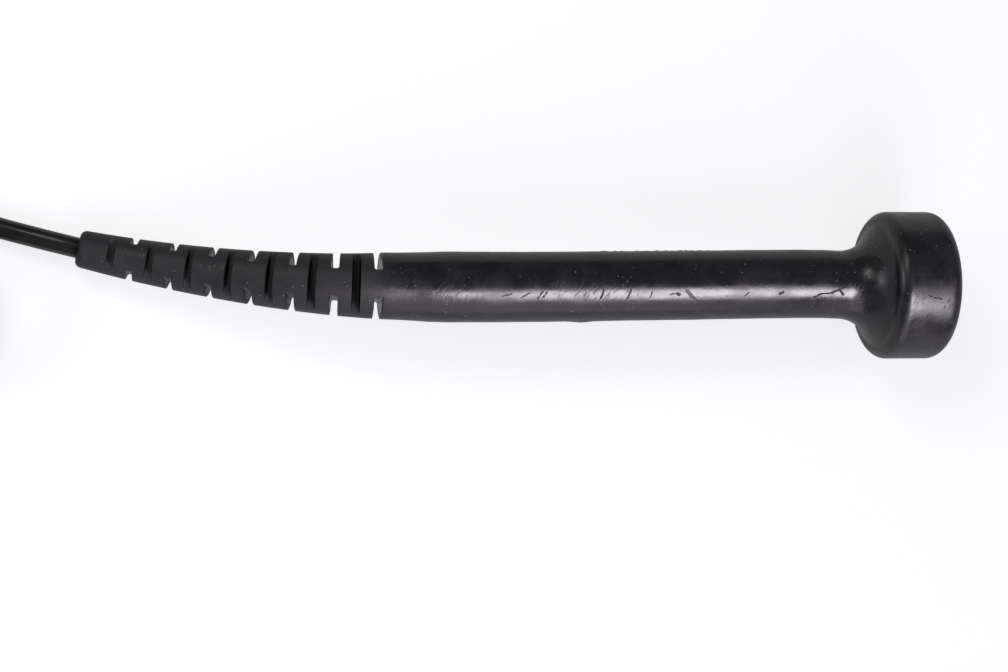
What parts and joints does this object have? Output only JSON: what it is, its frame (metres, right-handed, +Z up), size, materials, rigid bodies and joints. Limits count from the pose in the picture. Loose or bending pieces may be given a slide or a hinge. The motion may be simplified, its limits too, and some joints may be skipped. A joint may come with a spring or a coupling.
{
  "type": "electric remote shutter release",
  "caption": "Hand-held electric shutter release: rubber handle with a ladder strain relief, a thumb button in its wide head, and a cord with a phone plug, tied in a hank.",
  "frame": {"origin": "centre of the handle's footprint, on the surface that it lies on", "axes": "+X along the barrel towards the thumb button, +Z up; the tail and its cord bend to +Y"},
  "size_m": [0.388, 0.0484, 0.0392],
  "materials": {
    "black_rubber": "satin moulded",
    "cord_jacket": "gloss",
    "black_plastic": "fine grain",
    "button_plastic": "polished",
    "bakelite": "moulded phenolic",
    "nylon": "natural",
    "steel": "drawn",
    "brass": "turned",
    "nickel": "nickel plated",
    "red_lead": "extruded",
    "tie_fabric": "woven hook-and-loop"
  },
  "bodies": {
    "handle": {"rubber_boot": "black_rubber", "core_tube": "steel", "rear_bush": "nylon", "head_cup": "black_plastic", "face_gasket": "black_rubber", "face_plate": "black_plastic", "return_spring": "steel", "switch_housing": "bakelite", "switch_bushing": "brass", "lock_washer": "steel", "switch_nut": "brass", "terminal_base": "bakelite", "terminal_a": "brass", "terminal_b": "brass", "solder_sleeve_a": "black_rubber", "solder_sleeve_b": "black_rubber", "lead_red": "red_lead", "lead_black": "cord_jacket", "cord_ferrule": "brass", "cord_bush": "nylon", "cord_inner": "cord_jacket", "cord_free": "cord_jacket", "cord_hank": "cord_jacket", "cord_plug_end": "cord_jacket", "hank_tie": "tie_fabric", "plug_relief": "black_rubber", "plug_cover": "black_plastic", "plug_liner": "nylon", "plug_body": "nickel", "plug_insulator": "black_plastic", "plug_tip": "nickel", "plug_lug": "brass", "plug_lead_red": "red_lead", "plug_lead_black": "cord_jacket"},
    "button": {"thumb_button": "button_plastic", "plunger": "nylon", "contact_bridge": "brass", "contact_clip": "steel"}
  },
  "joints": [
    {"name": "button_press", "type": "slide", "parent": "handle", "child": "button", "axis": [-1, 0, 0], "range_m": [0, 0.0025], "stiffness_N_per_m": 900, "springref_m": -0.002, "deforming": ["return_spring"]}
  ]
}
